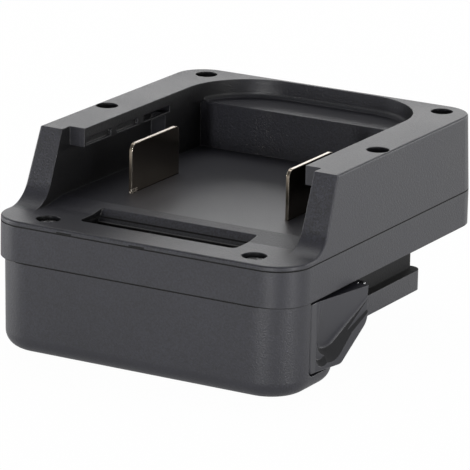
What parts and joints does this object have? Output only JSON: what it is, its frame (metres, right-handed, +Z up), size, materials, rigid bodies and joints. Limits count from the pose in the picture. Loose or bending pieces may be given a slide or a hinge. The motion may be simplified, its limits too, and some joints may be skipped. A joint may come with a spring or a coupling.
{
  "type": "tool battery adapter",
  "caption": "Tool battery adapter: an open receiver bay with contact blades and side rails on top, a hollow slide rail below, and a front box with sprung squeeze buttons on both sides.",
  "frame": {"origin": "under the middle of the adapter, level with the underside of the front box", "axes": "+X to the right seen from the open front, +Y from the front box to the rear, +Z up, the side of the receiver bay"},
  "size_m": [0.0846, 0.0916, 0.048],
  "materials": {
    "casing": "fine moulded texture",
    "button": "satin moulded",
    "latch_steel": "plain",
    "spring_steel": "drawn wire",
    "nickel_blade": "nickel plated sheet",
    "carrier": "moulded",
    "board": "solder mask",
    "chip": "moulded package",
    "contact_metal": "stamped sheet",
    "dark_lead": "insulation",
    "red_lead": "insulation",
    "signal_lead": "insulation",
    "black_screw": "black oxide",
    "zinc_screw": "zinc plated"
  },
  "bodies": {
    "housing": {"upper_casing": "casing", "lower_casing": "casing", "front_box": "casing", "left_button_spring": "spring_steel", "right_button_spring": "spring_steel", "left_blade": "nickel_blade", "right_blade": "nickel_blade", "blade_carrier": "carrier", "contact_block": "carrier", "circuit_board": "board", "control_chip": "chip", "power_transistors": "chip", "left_output_contact": "contact_metal", "right_output_contact": "contact_metal", "signal_contacts": "contact_metal", "left_lead": "dark_lead", "right_lead": "red_lead", "signal_leads": "signal_lead", "deck_screws": "black_screw", "wall_screws": "black_screw", "rear_screws": "black_screw", "box_screws": "zinc_screw", "board_screws": "zinc_screw"},
    "left_button_body": {"left_button": "button", "left_latch_hook": "latch_steel", "left_hook_pin": "latch_steel"},
    "right_button_body": {"right_button": "button", "right_latch_hook": "latch_steel", "right_hook_pin": "latch_steel"}
  },
  "joints": [
    {"name": "left_button_press", "type": "slide", "parent": "housing", "child": "left_button_body", "axis": [1, 0, 0], "range_m": [0, 0.0025], "stiffness_N_per_m": 1200, "springref_m": -0.002, "deforming": ["left_button_spring"]},
    {"name": "right_button_press", "type": "slide", "parent": "housing", "child": "right_button_body", "axis": [-1, 0, 0], "range_m": [0, 0.0025], "stiffness_N_per_m": 1200, "springref_m": -0.002, "deforming": ["right_button_spring"]}
  ]
}
